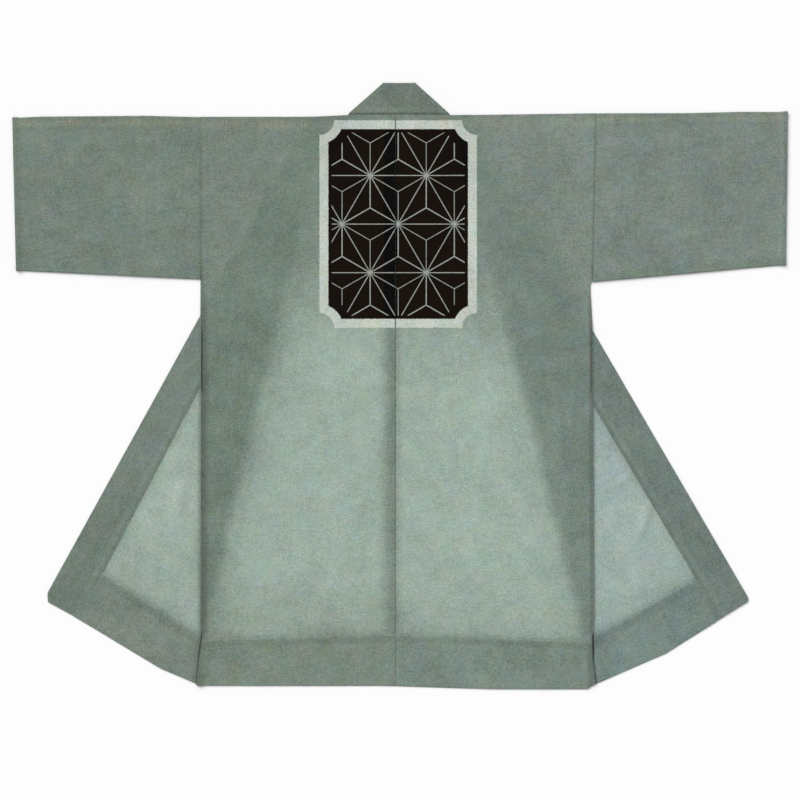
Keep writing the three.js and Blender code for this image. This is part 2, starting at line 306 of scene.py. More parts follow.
def ramp(length, width):
    """Rises smoothly from 0 to 1 over a width."""
    share = np.clip(length / width, 0, 1)
    return share * share * (3 - 2 * share)


class Layers:
    """Heights of the middle of each layer of one half, by plan."""

    def __init__(self, side, fold, seam, edge, hem_top, front_hem_top, collar_corner, **others):
        self.side, self.fold, self.seam, self.edge, self.hem_top = side, fold, seam, edge, hem_top
        self.collar_corner = collar_corner
        self.hem_at_fold = crossing(fold[2:], hem_top)
        self.folded_hem_top = np.array([self.hem_at_fold, front_hem_top])
        self.hem_at_seam = crossing(self.folded_hem_top, seam[2:])

    def in_hem(self, x, y):
        return ramp(on_line(self.hem_top, x, X) - y, hem_step)

    def in_folded_hem(self, x, y):
        (ax, ay), (bx, by) = self.folded_hem_top
        off = ((bx - ax) * (y - ay) - (by - ay) * (x - ax)) / math.hypot(bx - ax, by - ay)
        return ramp(-self.side * off, hem_step)

    def folded(self, x, y):
        return stand_off(x, y) + cloth / 2 + pitch * self.in_folded_hem(x, y)

    def strip(self, x, y):
        return stand_off(x, y) + strip / 2

    def under_front(self, x, y):
        over_strip = strip_pitch * (1 - ramp(self.side * (x - on_line(self.edge, y, Y)), drape))
        past_seam = (strip_pitch - pitch) * ramp(self.side * (on_line(self.seam, y, Y) - x), seam_drape)
        return over_strip - past_seam + pitch * self.in_folded_hem(x, y)

    def front(self, x, y):
        return stand_off(x, y) + cloth / 2 + self.under_front(x, y)

    def over_flap(self, x, y):
        (cx, cy), (tx, ty) = (self.collar_corner, flap_bottom), self.fold[1]
        bottom = cy + (x - cx) * (ty - cy) / (tx - cx)
        from_side = 1 - ramp(self.side * (self.collar_corner - x), drape)
        from_below = 1 - ramp(bottom - y, drape)
        from_edge = 1 - ramp(self.side * (x - on_line(self.edge, y, Y)), drape)
        return strip_pitch * np.minimum(np.minimum(from_side, from_below), from_edge)

    def back(self, x, y):
        over_front = 1 - ramp(self.side * (on_line(self.fold, y, Y) - x), drape)
        front = over_front * (self.under_front(x, y) + pitch + pitch * self.in_hem(x, y))
        return (stand_off(x, y) + cloth / 2 + np.maximum(front, self.over_flap(x, y))
                + pitch * self.in_hem(x, y))


layers = {name: Layers(**half) for name, half in halves.items()}
for name, layer in layers.items():
    print(name, "half: the hem's upper line meets the fold at", (layer.hem_at_fold / mm).round(1), "mm")

# %% [markdown]
# ## From a flat cut to a shell
#
# A length of cloth is made as grids of points, one grid for each layer, and the grids share the points
# of the edge where the cloth turns over. A real fold is a small half turn, so short rows go round it.
# Each point also keeps its place on the flat cut, as a UV map in metres, and the weave follows that. The
# grids are welded, their normals are made alike, and Solidify gives them their thickness.

# %% Grids, half turns and the shell


def spread(length, step, close=()):
    """Shares from 0 to 1 at a step, with more of them close to each end."""
    extra = np.array(sorted(close)) / length
    inner = np.linspace(0, 1, max(2, round(length / step) + 1))
    if len(extra):
        inner = inner[(inner > extra[-1] * 1.2) & (inner < 1 - extra[-1] * 1.2)]
        inner = np.concatenate([[0], extra, inner, 1 - extra[::-1], [1]])
    return inner


def half_turn(start, end, outward, flats=6):
    """Rows that turn over from one edge to the other, bulging outwards. Edges are rows of points."""
    angles = np.pi * np.arange(1, flats) / flats
    middle, reach = (start + end) / 2, (start - end) / 2
    bulge = np.abs(reach[:, 2:3]) * np.concatenate([outward, np.zeros((len(outward), 1))], 1)
    return np.stack([middle + reach * np.cos(a) + bulge * np.sin(a) for a in angles])


def outward_normals(line, away_from):
    """Unit plan normals of a row of points, turned away from a point."""
    step = np.gradient(line[:, :2], axis=0)
    normal = np.stack([step[:, Y], -step[:, X]], -1)
    normal /= np.linalg.norm(normal, axis=1)[:, None]
    wrong = np.sum(normal * (line[:, :2] - away_from), axis=1) < 0
    normal[wrong] *= -1
    return normal


class ClothPiece:
    """Grids of one length of cloth, each point with its place on the flat cut."""

    def __init__(self):
        self.points, self.cut, self.faces, self.count = [], [], [], 0

    def grid(self, points, cut):
        rows, columns = points.shape[:2]
        index = self.count + np.arange(rows * columns).reshape(rows, columns)
        quads = np.stack([index[:-1, :-1], index[:-1, 1:], index[1:, 1:], index[1:, :-1]], -1)
        self.points.append(points.reshape(-1, 3))
        self.cut.append(cut.reshape(-1, 2))
        self.faces.append(quads.reshape(-1, 4))
        self.count += rows * columns

    def turn(self, start, end, cut_start, cut_end, outward):
        """The half turn between two rows of points, edges included."""
        rows = np.concatenate([start[None], half_turn(start, end, outward), end[None]])
        shares = np.linspace(0, 1, len(rows))[:, None, None]
        self.grid(rows, cut_start[None] * (1 - shares) + cut_end[None] * shares)

    def shell(self, name, thickness):
        """Welds the grids and gives them their thickness."""
        faces = np.concatenate(self.faces)
        cut = np.concatenate(self.cut)
        mesh = bpy.data.meshes.new(name)
        mesh.from_pydata(np.concatenate(self.points).tolist(), [], faces.tolist())
        flat = mesh.uv_layers.new(name="cut")
        flat.data.foreach_set("uv", cut[faces.ravel()].ravel())
        made = bpy.data.objects.new(name, mesh)
        bpy.context.collection.objects.link(made)
        nothing_selected()
        made.select_set(True)
        bpy.context.view_layer.objects.active = made
        bpy.ops.object.mode_set(mode="EDIT")
        bpy.ops.mesh.select_all(action="SELECT")
        bpy.ops.mesh.remove_doubles(threshold=0.01 * mm)
        bpy.ops.mesh.dissolve_degenerate(threshold=0.005 * mm)
        bpy.ops.mesh.normals_make_consistent(inside=False)
        bpy.ops.object.mode_set(mode="OBJECT")
        wall = made.modifiers.new("thickness", "SOLIDIFY")
        wall.thickness = thickness
        wall.offset = 0
        bpy.ops.object.modifier_apply(modifier=wall.name)
        bpy.ops.object.shade_smooth_by_angle(angle=math.radians(50))
        return made


def report(made):
    """Prints a piece's triangles and its cloth's own area, which is half its surface."""
    area = sum(p.area for p in made.data.polygons) / 2
    triangles = sum(len(p.vertices) - 2 for p in made.data.polygons)
    print(f"{made.name}: {triangles} triangles, {area:.3f} square metres of cloth")


# %% [markdown]
# ## Each half of the body
#
# A half is one loom width: up the back, over the shoulder without a seam, and down the front. The front
# is folded outwards from the neck to the bottom corner. The hem is turned up 80 mm inside, so its upper
# edge shows through as a straight line, and at the centre back the left half has a seam allowance.

# %% Rows and columns of the body
cell = 4.8 * mm
near_edge = (1.2 * mm, 2.6 * mm, 4.5 * mm)  # rows closer together beside an edge
body_length = 850 * mm
hem_height = 80 * mm
outer_width = 247 * mm
inner_width = 77 * mm
folded_width = 225 * mm


def at_heights(grid, height):
    """A plan grid with a layer's heights."""
    z = height(grid[..., X], grid[..., Y])
    return np.concatenate([grid, z[..., None]], -1)


def between_lines(top, bottom, side, inner, rows, columns):
    """Plan points in rows between two lines across, and in columns from the side to an inner line."""
    x = np.full((len(rows), len(columns)), on_line(side, -100 * mm, Y))
    across = columns[None, :]
    down = rows[:, None]
    for _ in range(6):
        y = on_line(top, x, X) * (1 - down) + on_line(bottom, x, X) * down
        x = on_line(side, y[:, :1], Y) * (1 - across) + on_line(inner, y[:, -1:], Y) * across
    return np.stack([x, y], -1)


def mirrored(points, line):
    """Plan points on the other side of a line's long lower stretch, to unfold what is folded there."""
    a, b = line[1], line[-1]
    way = (b - a) / np.linalg.norm(b - a)
    along_it = (points - a) @ way
    return 2 * (a + along_it[..., None] * way) - points


def body_half(name):
    """One half of the body as a welded shell."""
    half, layer = halves[name], layers[name]
    side = half["side"]
    piece = ClothPiece()
    long_rows = spread(body_length, cell, near_edge)
    hem_rows = spread(hem_height, 5 * mm, (3 * mm,))

    # Columns from the side to the line below the neck, then on to the centre seam
    outer_columns = spread(outer_width, cell, near_edge)
    inner_columns = spread(inner_width, cell, near_edge)
    neck_line = np.array([[half["neck"][X], 0.6], [half["neck"][X], -0.6]])
    centre_line = np.array([[half["back_top"][0 if side > 0 else -1, X], y] for y in (0.6, -0.6)])
    top = half["back_top"].copy()
    top[:, Y] -= 0.5 * mm

    def whole(side_line, inner_line, columns, bottom=half["back_hem"]):
        upper = between_lines(top, half["hem_top"], side_line, inner_line, long_rows, columns)
        lower = between_lines(half["hem_top"], bottom, side_line, inner_line, hem_rows, columns)
        return np.concatenate([upper, lower[1:]])

    back_plan = np.concatenate([
        whole(half["back_side"], neck_line, outer_columns),
        whole(neck_line, centre_line, inner_columns)[:, 1:],
    ], axis=1)
    fold_line = half["fold"].copy()
    fold_line[-1, X] -= side * 5 * mm
    front_plan = whole(half["front_side"], fold_line, outer_columns, half["front_bottom"])
    front_plan[0] = back_plan[0, : len(outer_columns)]

    # The allowance of the centre seam lies under the left half
    def back_height(x, y):
        z = layer.back(x, y)
        if side < 0:
            z = z + 0.5 * mm * ramp(x - centre_seam + allowance_width, 4 * mm)
        z = z + 0.8 * mm * np.exp(-(((on_line(half["back_top"], x, X) - y) / (5 * mm)) ** 2))
        dip = np.exp(-(((x - centre_seam) / (2.2 * mm)) ** 2))
        armhole = np.exp(-(((x - on_line(half["back_side"], y, Y)) / (2.4 * mm)) ** 2))
        side_puff = ramp(y - 165 * mm, 12 * mm)
        return z - 0.25 * mm * dip - 0.2 * mm * armhole * side_puff + 0.5 * mm * armhole * (1 - side_puff)

    back = at_heights(back_plan, back_height)
    front = at_heights(front_plan, layer.front)
    back_cut = back_plan.copy()
    front_cut = np.stack([front_plan[..., X], 2 * neck_seam - front_plan[..., Y]], -1)
    piece.grid(back, back_cut)
    piece.grid(front, front_cut)

    # Over the shoulder, and down the side from the armpit
    shared = len(outer_columns)
    piece.turn(back[0, :shared], front[0], back_cut[0, :shared], front_cut[0],
               np.tile([0.0, 1.0], (shared, 1)))
    below = slice(int(np.argmax(back[:, 0, Y] < armpit)), None)
    outwards = np.tile([float(side), 0.0], (len(back[below]), 1))
    piece.turn(back[below, 0], front[below, 0], back_cut[below, 0], front_cut[below, 0], outwards)

    # The folded part, from where it is a few millimetres wide down to its hem
    first = int(np.argmax(side * (on_line(half["seam"], front[:, -1, Y], Y) - front[:, -1, X]) > 8 * mm))
    at_hem = len(long_rows) - 1
    fold_points = front_plan[first:, -1]
    seam_start = np.array([on_line(half["seam"], fold_points[0, Y], Y), fold_points[0, Y]])
    seam_hem = layer.hem_at_seam
    lengths = np.concatenate([[0], np.cumsum(np.linalg.norm(np.diff(fold_points, axis=0), axis=1))])
    upper_count = at_hem - first
    upper_shares = lengths[: upper_count + 1] / lengths[upper_count]
    lower_shares = (lengths[upper_count:] - lengths[upper_count]) / (lengths[-1] - lengths[upper_count])
    knee_line = np.array([seam_start, half["seam"][2], seam_hem])
    seam_points = np.concatenate([
        along(knee_line, upper_shares), along(np.array([seam_hem, half["seam"][3]]), lower_shares)[1:],
    ])
    folded_columns = spread(folded_width, cell, (2 * mm, 4.5 * mm))
    across = folded_columns[None, :, None]
    folded_plan = fold_points[:, None] * (1 - across) + seam_points[:, None] * across
    hem_line = along(np.array([fold_points[-1], half["front_hem"], seam_points[-1]]), folded_columns)
    bend = hem_line - folded_plan[-1]
    into_hem = np.concatenate([np.zeros(upper_count), lower_shares])[:, None, None]
    folded_plan = folded_plan + into_hem * bend[None]
    folded = at_heights(folded_plan, layer.folded)
    unfolded = mirrored(folded_plan, half["fold"])
    folded_cut = np.stack([unfolded[..., X], 2 * neck_seam - unfolded[..., Y]], -1)
    piece.grid(folded, folded_cut)
    piece.turn(front[first:, -1], folded[:, 0], front_cut[first:, -1], folded_cut[:, 0],
               np.tile([-float(side), 0.0], (len(folded), 1)))

    # Hems, each turned up on the cloth's inner side and joined to it round the bottom edge
    def turned_up(sheet, cut, shift):
        hem = slice(len(sheet) - len(hem_rows) + 1, None)
        inner = sheet[hem][::-1].copy()
        inner[..., 2] += shift
        inner_cut = cut[-1:] * 2 - cut[hem][::-1]
        piece.grid(inner, inner_cut)
        piece.turn(sheet[-1], inner[0], cut[-1], inner_cut[0], outward_normals(sheet[-1], np.zeros(2)))

    turned_up(back, back_cut, -pitch)
    turned_up(front, front_cut, pitch)
    turned_up(folded, folded_cut, -pitch)
    return piece.shell(f"cloth_body_{name}", cloth)


bodies = {name: body_half(name) for name in halves}
for name, made in bodies.items():
    report(made)
    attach(made, "root")
    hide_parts(f"body_{name}")

# %% [markdown]
# ## The sleeves
#
# A sleeve is another loom width, folded along its top, sewn along the bottom and left open at the cuff.
# It is a tube pressed flat, so its rows go right round it. The cuff is turned in a few millimetres.

# %% Sleeves
cuff = 7 * mm
sleeve_length = 307 * mm
sleeve_depth = 262 * mm


def sleeve(name):
    """One sleeve as a welded shell."""
    plan_of = sleeves[name]
    side, top, bottom = plan_of["side"], plan_of["top"], plan_of["bottom"]
    piece = ClothPiece()
    columns = spread(sleeve_length, 4.6 * mm, near_edge)
    rows = spread(sleeve_depth, 4.6 * mm, (1.5 * mm, 3.2 * mm))
    top_points = along(top, columns) - [0, 0.9 * mm]
    bottom_points = along(bottom, columns) + [0, 0.9 * mm]
    down = rows[:, None, None]
    flat = top_points[None] * (1 - down) + bottom_points[None] * down
    x, y = flat[..., X], flat[..., Y]
    from_edge = np.minimum(top_points[None, :, Y] - y, y - bottom_points[None, :, Y])
    from_cuff = np.abs(x - np.stack([top_points[-1], bottom_points[-1]])[:, X].mean())
    puff = (0.55 * mm * np.exp(-((from_edge / (5 * mm)) ** 2))
            + 0.5 * mm * np.exp(-((from_cuff / (9 * mm)) ** 2)))
    armhole = np.exp(-((np.abs(x - flat[:, :1, X]) / (2.4 * mm)) ** 2))
    lower = stand_off(x, y) + cloth / 2
    upper = lower + pitch + 2 * puff - 0.2 * mm * armhole
    inside_cuff = 1 - ramp(np.abs(columns - 1) * sleeve_length - cuff, 3 * mm)
    upper = upper + 2 * pitch * inside_cuff[None]
    upper_sheet = np.concatenate([flat, upper[..., None]], -1)
    lower_sheet = np.concatenate([flat, lower[..., None]], -1)
    upper_cut = flat
    lower_cut = np.stack([x, 2 * top_points[None, :, Y] - y], -1)
    last = len(rows) - 1

    def tube(shift, keep):
        over, under = upper_sheet[:, keep].copy(), lower_sheet[:, keep].copy()
        over[..., 2] -= shift
        under[..., 2] += shift
        cut_over, cut_under = upper_cut[:, keep], lower_cut[:, keep]
        upwards = np.tile([0.0, 1.0], (over.shape[1], 1))
        over_top = half_turn(under[0], over[0], upwards)
        over_bottom = half_turn(over[last], under[last], -upwards)
        around = np.concatenate([over, over_bottom, under[::-1], over_top, over[:1]])
        cut = np.concatenate([
            cut_over, np.repeat(cut_over[last:], len(over_bottom), 0), cut_under[::-1],
            np.repeat(cut_under[:1], len(over_top), 0), cut_over[:1],
        ])
        return around, cut

    outside, outside_cut = tube(0, slice(None))
    turned = slice(int(np.argmax(columns * sleeve_length > sleeve_length - cuff - 1 * mm)), None)
    inside, inside_cut = tube(pitch, turned)
    piece.grid(outside, outside_cut)
    piece.grid(inside[:, ::-1], inside_cut[:, ::-1])
    edge_out, edge_in = outside[:, -1], inside[:, -1]
    piece.turn(edge_out, edge_in, outside_cut[:, -1], inside_cut[:, -1],
               np.tile([float(side), 0.0], (len(edge_out), 1)))
    return piece.shell(f"cloth_sleeve_{name}", cloth)


arms = {name: sleeve(name) for name in sleeves}
for name, made in arms.items():
    report(made)
    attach(made, "root")
    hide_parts(f"sleeve_{name}")

# %% [markdown]
# ## The collar
#
# The collar is one long strip, sewn double. Behind the neck it stands up past the body, and at both
# slanted ends it is folded under. From there each half of it runs down the edge of its front, under the
# body, and shows again outside the side seam.

# %% Collar
collar_width = 62 * mm
neck_width = 165 * mm
cut_to_strip = 90 * mm  # on the flat cut, from the middle of the neck to the strip
knee_share = 0.915  # where on its free edge the strip starts to turn in to its tip
strip_stretches = [  # length, step and rows close to the ends, from the neck down
    (75 * mm, 4 * mm, ()), (88 * mm, 4 * mm, ()), (800 * mm, 4.4 * mm, ()), (92 * mm, 4.2 * mm, (2 * mm,)),
]


def end_to_end(*lines):
    """Points down four lines on end, one line for each stretch of the strip."""
    parts = [along(np.array(line), spread(*stretch)) for line, stretch in zip(lines, strip_stretches)]
    return np.concatenate([parts[0]] + [part[1:] for part in parts[1:]])


def collar():
    """The whole collar as a welded shell."""
    piece = ClothPiece()
    left, right = halves["left"], halves["right"]
    across_shares = spread(collar_width, 4 * mm, (1.2 * mm, 2.6 * mm))
    neck_columns = spread(neck_width, 4 * mm, (1.2 * mm, 2.6 * mm, 5 * mm))
    rise = across_shares[:, None]

    # The part behind the neck, in rows from its seam up to its top fold
    ends = [[(half["collar_base"], neck_seam), (half["collar_corner"], collar_top)] for half in (left, right)]
    left_line, right_line = (along(np.array(end), across_shares) for end in ends)
    share = neck_columns[None, :, None]
    flat = left_line[:, None] * (1 - share) + right_line[:, None] * share
    x, y = flat[..., X], flat[..., Y]
    over_ends = np.maximum(1 - ramp(x - left["collar_corner"], drape),
                           1 - ramp(right["collar_corner"] - x, drape))
    seam_dip = 0.3 * mm * np.exp(-(((y - neck_seam) / (2.5 * mm)) ** 2))
    top_puff = 0.3 * mm * np.exp(-(((collar_top - y) / (4 * mm)) ** 2))
    z = stand_off(x, y) + strip / 2 + strip_pitch * over_ends - seam_dip + top_puff
    neck_part = np.concatenate([flat, z[..., None]], -1)
    neck_cut = np.stack([np.broadcast_to(x, y.shape), y - neck_seam], -1)
    piece.grid(neck_part, neck_cut)

    # The two strips, in rows across from the seam with the front to the free edge
    for name, column in (("left", 0), ("right", -1)):
        half, layer = halves[name], layers[name]
        base, corner = (half["collar_base"], neck_seam), (half["collar_corner"], collar_top)
        flap = (half["collar_corner"], flap_bottom)
        fold_start, seam, edge = half["fold"][1], half["seam"], half["edge"]
        knee = edge[0] + (edge[1] - edge[0]) * knee_share
        seam_side = end_to_end([corner, flap], [flap, fold_start], [fold_start, seam[2]], seam[2:])
        free_side = end_to_end([base, half["strip_neck"]], [half["strip_neck"], edge[0]], [edge[0], knee],
                               [knee, edge[1], half["tip"]])
        wide = across_shares[None, ::-1, None]
        flat = free_side[:, None] * (1 - wide) + seam_side[:, None] * wide
        z = layer.strip(flat[..., X], flat[..., Y])
        strip_part = np.concatenate([flat, z[..., None]], -1)
        lengths = np.concatenate([[0], np.cumsum(np.linalg.norm(np.diff(seam_side, axis=0), axis=1))])
        cut = np.stack([
            np.broadcast_to(half["side"] * (cut_to_strip + lengths[:, None]), flat.shape[:2]),
            np.broadcast_to(collar_width * across_shares[None, ::-1], flat.shape[:2]),
        ], -1)
        piece.grid(strip_part, cut)
        end = neck_part[:, column]
        start = strip_part[0, ::-1]
        piece.turn(end, start, neck_cut[:, column], cut[0, ::-1],
                   np.tile([float(half["side"]) * 0.68, 0.73], (len(end), 1)))
    return piece.shell("cloth_collar", strip)


neckband = collar()
report(neckband)
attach(neckband, "root")
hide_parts("collar")

# %% [markdown]
# ## Sewing
#
# The hems and cuffs are turned in and held with small stitches, and a row of them joins the collar strip
# to each front. A stitch is a bead of thread that dips into the cloth at both ends. One is modelled from
# a six-sided cylinder, whose ends are pulled out, thinned and pushed down. It is then copied along each
# line, and a ray from above finds how high the cloth lies there.

# %% One stitch
thread = 0.2 * mm
stitch_length = 2.4 * mm
stitch_pitch = 6.5 * mm

nothing_selected()
bpy.ops.mesh.primitive_cylinder_add(
    vertices=6, radius=thread, depth=stitch_length * 0.6, rotation=(0, math.pi / 2, 0))
stitch = bpy.context.object
bpy.ops.object.transform_apply(location=False, rotation=True, scale=False)
for way in (-1, 1):
    bpy.ops.object.mode_set(mode="EDIT")
    bpy.ops.mesh.select_mode(type="FACE")
    bpy.ops.mesh.select_all(action="DESELECT")
    bpy.ops.object.mode_set(mode="OBJECT")
    for face in stitch.data.polygons:
        face.select = face.normal.x * way > 0.9
    bpy.ops.object.mode_set(mode="EDIT")
    bpy.ops.mesh.extrude_region_move(
        TRANSFORM_OT_translate={"value": (way * stitch_length * 0.2, 0, -thread)})
    bpy.ops.transform.resize(value=(1, 0.5, 0.5))
    bpy.ops.object.mode_set(mode="OBJECT")
bpy.ops.object.shade_smooth()
print("one stitch has", len(stitch.data.polygons), "faces")

# %% Rows of stitches
draw = np.random.default_rng(7)


def sewn(name, carrier, rows):
    """Rows of stitches laid on a piece of cloth, as one piece."""
    copies = []
    for start, end in rows:
        start, end = np.array(start), np.array(end)
        length = np.linalg.norm(end - start)
        way = (end - start) / length
        for k in range(int(length / stitch_pitch)):
            place = start + way * (stitch_pitch * (k + 0.5) + draw.normal(0, 0.3 * mm))
            hit, point = carrier.ray_cast((place[X], place[Y], 50 * mm), (0, 0, -1))[:2]
            if not hit:
                continue
            copy = bpy.data.objects.new(name, stitch.data.copy())
            bpy.context.collection.objects.link(copy)
            copy.location = (place[X], place[Y], point.z + thread * 0.3)
            copy.rotation_euler = (0, 0, math.atan2(way[Y], way[X]) + draw.normal(0, 0.05))
            copies.append(copy)
    nothing_selected()
    for copy in copies:
        copy.select_set(True)
    bpy.context.view_layer.objects.active = copies[0]
    bpy.ops.object.join()
    made = bpy.context.object
    made.name = name
    bpy.ops.object.transform_apply(location=True, rotation=True, scale=True)
    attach(made, "root")
    print(name, "has", len(copies), "stitches")
    return made


def beside(line, off):
    """A straight row beside a line, this far to its left seen from its start."""
    start, end = np.array(line[0]), np.array(line[-1])
    way = (end - start) / np.linalg.norm(end - start)
    return start + off * np.array([-way[Y], way[X]]), end + off * np.array([-way[Y], way[X]])


sewing = {}
for name, half in halves.items():
    side = half["side"]
    hem_row = beside(half["hem_top"], -2.5 * mm)
    folded_row = beside([half["hem_top"][0 if side < 0 else 1], layers[name].hem_at_seam], -side * -3 * mm)
    sewing[f"body_{name}"] = sewn(f"stitches_body_{name}", bodies[name], [hem_row, folded_row])
    cuff_row = beside([sleeves[name]["top"][-1], sleeves[name]["bottom"][-1]], -side * 5.5 * mm)
    sewing[f"sleeve_{name}"] = sewn(f"stitches_sleeve_{name}", arms[name], [cuff_row])
strip_rows = []
for half in halves.values():
    from_side = crossing(half["seam"][1:3], half["back_side"][-4:-2])
    strip_rows.append(beside([from_side, half["seam"][2]], half["side"] * 4.5 * mm))
sewing["collar"] = sewn("stitches_collar", neckband, strip_rows)
bpy.data.objects.remove(stitch)

# %% [markdown]
# ## Writing shader maths as sums
#
# The finishes are patterns worked out from numbers, and a long chain of Math nodes is hard to read. This
# small class wraps a socket, so that `1 - mask` or `warp * weft` adds the nodes by itself.

# %% Sockets as numbers


class Number:
    """A socket that can stand in a sum."""

    def __init__(self, finish, socket):
        self.finish, self.socket = finish, socket

    def math(self, operation, *values):
        made = self.finish.node("ShaderNodeMath", dict(operation=operation), dict(enumerate(values)))
        return Number(self.finish, made.outputs[0])

    def __add__(self, other):
        return self.math("ADD", self, other)

    def __radd__(self, other):
        return self.math("ADD", other, self)

    def __sub__(self, other):
        return self.math("SUBTRACT", self, other)

    def __rsub__(self, other):
        return self.math("SUBTRACT", other, self)

    def __mul__(self, other):
        return self.math("MULTIPLY", self, other)

    def __rmul__(self, other):
        return self.math("MULTIPLY", other, self)

    def __truediv__(self, other):
        return self.math("DIVIDE", self, other)

    def __abs__(self):
        return self.math("ABSOLUTE", self)

    def least(self, other):
        return self.math("MINIMUM", self, other)

    def most(self, other):
        return self.math("MAXIMUM", self, other)

    def part(self):
        return self.math("FRACT", self)

    def sine(self):
        return self.math("SINE", self)

    def root(self):
        return self.math("SQRT", self)


class Finish:
    """A material in the making."""

    def __init__(self, name):
        self.material = bpy.data.materials.new(name)
        self.material.use_nodes = True
        self.nodes = self.material.node_tree.nodes
        self.links = self.material.node_tree.links
        self.nodes.clear()
        self.where = self.node("ShaderNodeTexCoord")
        place = self.node("ShaderNodeSeparateXYZ", inputs={0: self.where.outputs["Object"]})
        self.x, self.y = Number(self, place.outputs[0]), Number(self, place.outputs[1])

    def node(self, kind, settings=None, inputs=None):
        """Any node: its settings first, then the values or links of its sockets."""
        made = self.nodes.new(kind)
        for key, value in (settings or {}).items():
            setattr(made, key, value)
        for key, value in (inputs or {}).items():
            value = value.socket if isinstance(value, Number) else value
            if isinstance(value, bpy.types.NodeSocket):
                self.links.new(value, made.inputs[key])
            else:
                made.inputs[key].default_value = value
        return made

    def smooth(self, value, low, high):
        """0 below low and 1 above high, with a smooth rise between."""
        made = self.node("ShaderNodeMapRange", dict(interpolation_type="SMOOTHSTEP"),
                         {0: value, 1: low, 2: high})
        return Number(self, made.outputs[0])

    def between(self, value, low, high, soft):
        """1 between two values, with soft ends."""
        return self.smooth(value, low - soft, low + soft) * (1 - self.smooth(value, high - soft, high + soft))

    def blend(self, first, second, share, kind="MIX"):
        """Mixes two colours, each a link or a colour of three numbers."""
        first, second = (c if isinstance(c, bpy.types.NodeSocket) else (*c, 1) for c in (first, second))
        made = self.node("ShaderNodeMix", dict(data_type="RGBA", blend_type=kind),
                         {0: share, 6: first, 7: second})
        return made.outputs[2]

    def noise(self, vector, scale, detail=2.0):
        made = self.node("ShaderNodeTexNoise", inputs={
            "Vector": vector, "Scale": scale, "Detail": detail, "Roughness": 0.5})
        return Number(self, made.outputs[0])

    def stretched(self, vector, by):
        return self.node("ShaderNodeVectorMath", dict(operation="MULTIPLY"), {0: vector, 1: by}).outputs[0]

    def across(self, a, b):
        """How far a place is to the right of the line from a to b, in metres."""
        length = math.hypot(b[0] - a[0], b[1] - a[1])
        nx, ny = (b[1] - a[1]) / length, -(b[0] - a[0]) / length
        return self.x * float(nx) + self.y * float(ny) - float(a[0] * nx + a[1] * ny)


print("shader helpers are ready")

# %% [markdown]
# ## The cloth's own surface
#
# The cloth is plain woven from slightly uneven yarn, so it is mottled: long thin slubs along both
# thread directions, and faint green, blue and brown spots. The threads are half a millimetre apart. They
# make a fine bump, seen close by. The pattern is laid on the flat cut, so it turns where the cloth does.

# %% Weave and mottling
evenness = 0.935  # the lamp and the world together light a level sheet a little brighter than 1
thread_repeat = 1.1 * mm  # two threads, one over and one under


def woven(finish, tone):
    """Finishes a material: mottled tone, weave bump and a soft dull surface."""
    cut = finish.where.outputs["UV"]

    def mottle(across, down):
        """Noise from -0.5 to 0.5, with spots of this size in metres."""
        return finish.noise(finish.stretched(cut, (1 / across, 1 / down, 1)), 1.0) - 0.5

    def tints(size, amounts):
        """Faint spots of colour, a little more or less of red, green and blue by themselves."""
        spots = finish.node("ShaderNodeTexNoise", inputs={
            "Vector": finish.stretched(cut, (1 / size,) * 3), "Scale": 1.0, "Detail": 2.0})
        return finish.node("ShaderNodeVectorMath", dict(operation="MULTIPLY_ADD"), {
            0: spots.outputs["Color"], 1: amounts, 2: tuple(1 - a / 2 for a in amounts)}).outputs[0]

    warp = mottle(1.7 * mm, 30 * mm)
    weft = mottle(30 * mm, 1.7 * mm)
    grain = mottle(2.7 * mm, 2.7 * mm)
    spots = mottle(8 * mm, 8 * mm)
    patches = mottle(26 * mm, 26 * mm)
    areas = mottle(95 * mm, 95 * mm)
    unevenness = (warp + weft) * 0.19 + grain * 1.08 + spots * 0.42 + patches * 0.34 + areas * 0.40
    brightness = finish.node("ShaderNodeRGBToBW", inputs={0: tone}).outputs[0]
    bright = finish.smooth(brightness, 0.25, 0.40)
    light = evenness + unevenness * (1 - bright * 0.22)
    grey = finish.node("ShaderNodeCombineXYZ", inputs={0: light, 1: light, 2: light}).outputs[0]
    colour = finish.blend(tone, grey, 1.0, "MULTIPLY")
    colour = finish.blend(colour, tints(7 * mm, (0.29, 0.08, 0.33)), 1 - bright * 0.18, "MULTIPLY")
    colour = finish.blend(colour, tints(30 * mm, (0.34, 0.07, 0.36)), 1 - bright * 0.18, "MULTIPLY")
    turns = finish.stretched(cut, (2 * math.pi / thread_repeat,) * 3)
    threads = finish.node("ShaderNodeSeparateXYZ", inputs={0: turns})
    u, v = Number(finish, threads.outputs[0]), Number(finish, threads.outputs[1])
    weave = u.sine() * v.sine() + (warp + weft) * 0.8
    bump = finish.node("ShaderNodeBump", inputs={
        "Strength": 0.35, "Distance": 0.12 * mm, "Height": weave})
    surface = finish.node("ShaderNodeBsdfPrincipled", inputs={
        "Base Color": colour, "Roughness": 0.86, "Normal": bump.outputs[0],
        "Sheen Weight": 0.04, "Specular IOR Level": 0.08})
    finish.node("ShaderNodeOutputMaterial", inputs={0: surface.outputs[0]})
    return finish.material
